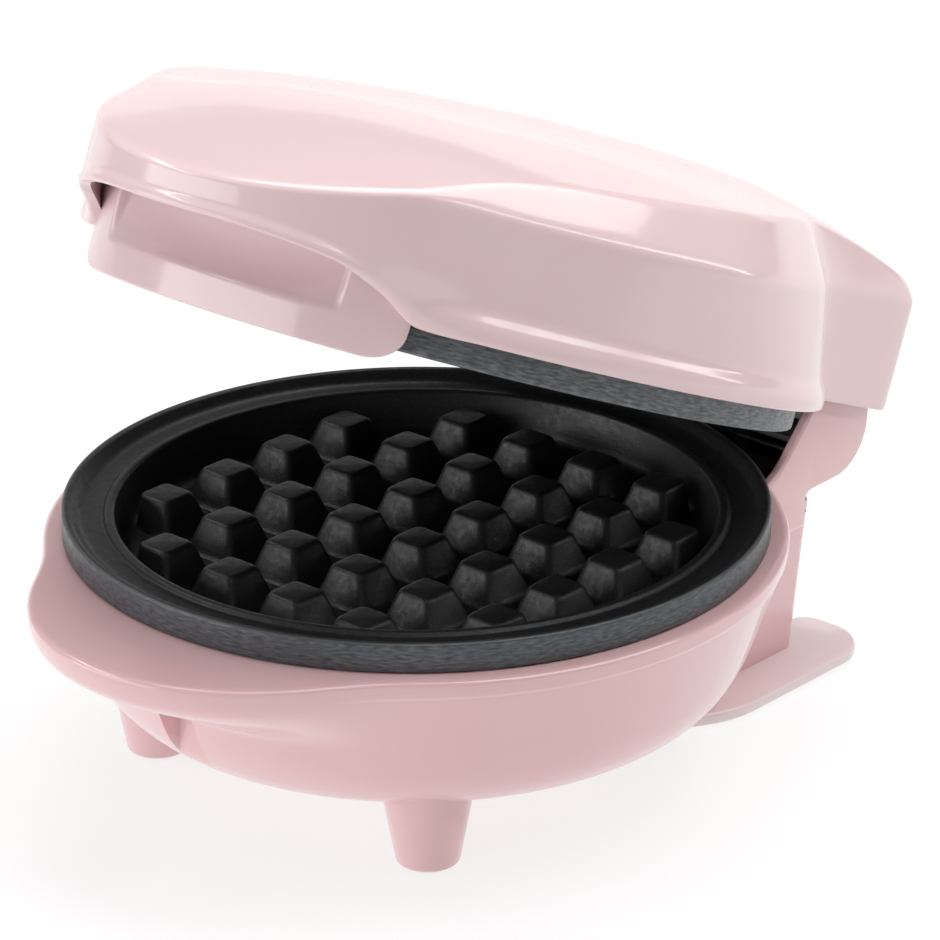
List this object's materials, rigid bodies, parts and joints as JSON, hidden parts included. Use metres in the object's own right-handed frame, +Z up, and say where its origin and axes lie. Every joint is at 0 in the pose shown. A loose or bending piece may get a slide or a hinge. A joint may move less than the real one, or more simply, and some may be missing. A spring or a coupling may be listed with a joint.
{
  "type": "waffle maker",
  "caption": "Small round waffle maker: a bowl-shaped base on feet with a front tongue, a hinged lid with a finger-lift visor, and two round gridded baking plates.",
  "frame": {"origin": "under the middle of the object's box, on the surface it stands on", "axes": "+X to the right seen from the front, -Y to the front where the tongue and the finger lift are, +Y to the hinge, +Z up"},
  "size_m": [0.1284, 0.1672, 0.1199],
  "materials": {
    "pink_plastic": "glossy pale pink",
    "pink_cover_plastic": "satin pale pink",
    "non_stick_aluminium": "dark non-stick coating over cast aluminium",
    "steel": "plain zinc-plated",
    "reflector_aluminium": "bright sheet",
    "black_plastic": "satin black",
    "rubber": "matt",
    "ceramic": "matt off-white",
    "silicone_sleeve": "matt off-white sleeve"
  },
  "bodies": {
    "base": {"base_shell": "pink_plastic", "base_cover": "pink_cover_plastic", "cover_screw_1": "steel", "cover_screw_2": "steel", "cover_screw_3": "steel", "front_foot_right": "pink_plastic", "front_foot_left": "pink_plastic", "front_pad_right": "rubber", "front_pad_left": "rubber", "rear_stand": "pink_plastic", "rear_pad_right": "rubber", "rear_pad_left": "rubber", "cord_gland": "black_plastic", "hinge_guard": "black_plastic", "hinge_pin_right": "steel", "hinge_pin_left": "steel", "lower_plate": "non_stick_aluminium", "lower_heating_element": "steel", "lower_heat_shield": "reflector_aluminium", "lower_plate_screw_1": "steel", "lower_plate_screw_2": "steel", "lower_plate_screw_3": "steel", "lower_thermostat": "ceramic", "thermal_fuse": "ceramic", "terminal_block": "ceramic", "live_lead": "silicone_sleeve", "neutral_lead": "silicone_sleeve"},
    "lid": {"lid_shell": "pink_plastic", "handle_panel": "pink_plastic", "lid_hinge_arm": "black_plastic", "upper_plate": "non_stick_aluminium", "upper_heating_element": "steel", "upper_heat_shield": "reflector_aluminium", "upper_plate_screw_1": "steel", "upper_plate_screw_2": "steel", "upper_plate_screw_3": "steel", "upper_cut_out": "ceramic", "hinge_screw_right": "steel", "hinge_screw_left": "steel"}
  },
  "joints": [
    {"name": "lid_hinge", "type": "hinge", "parent": "base", "child": "lid", "pos_m": [0, 0.06295, 0.041], "axis": [-1, 0, 0], "range_deg": [-22.4, 75]}
  ]
}
